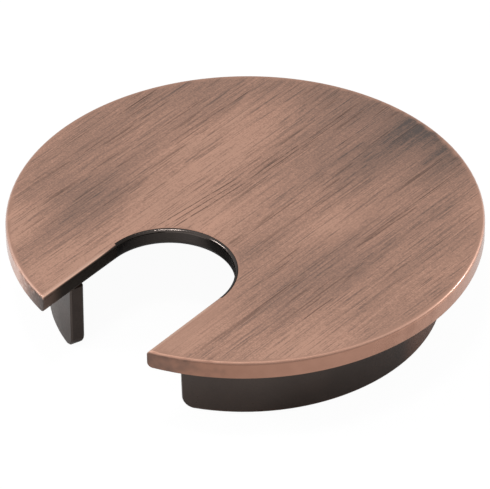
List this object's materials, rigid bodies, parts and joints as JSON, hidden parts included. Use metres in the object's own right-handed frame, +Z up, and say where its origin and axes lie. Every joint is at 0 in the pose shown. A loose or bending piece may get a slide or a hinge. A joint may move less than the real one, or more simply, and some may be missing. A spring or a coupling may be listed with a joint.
{
  "type": "desk grommet",
  "caption": "Round desk grommet: a brushed antique-copper cover disc with a U-shaped cable slot open at the rim, over a dark C-shaped collar that drops into a round desk hole.",
  "frame": {"origin": "on the collar's axis, in the plane of the desk top, which is the underside of the cover disc's rim", "axes": "+Z up out of the desk along the collar's axis, -Y from the axis out through the slot's mouth, +X to the right when looking along +Y"},
  "size_m": [0.0762, 0.0747, 0.015],
  "materials": {
    "brushed_copper": "brushed antique copper plate with dark patina in the brush lines and on the slot's walls",
    "gloss_black": "glossy moulded black",
    "dark_bronze": "satin dark bronze",
    "black_screw": "black oxide"
  },
  "bodies": {
    "root": {"face_plate": "brushed_copper", "edge_guard": "gloss_black", "collar": "dark_bronze", "collar_screws": "black_screw"}
  },
  "joints": []
}
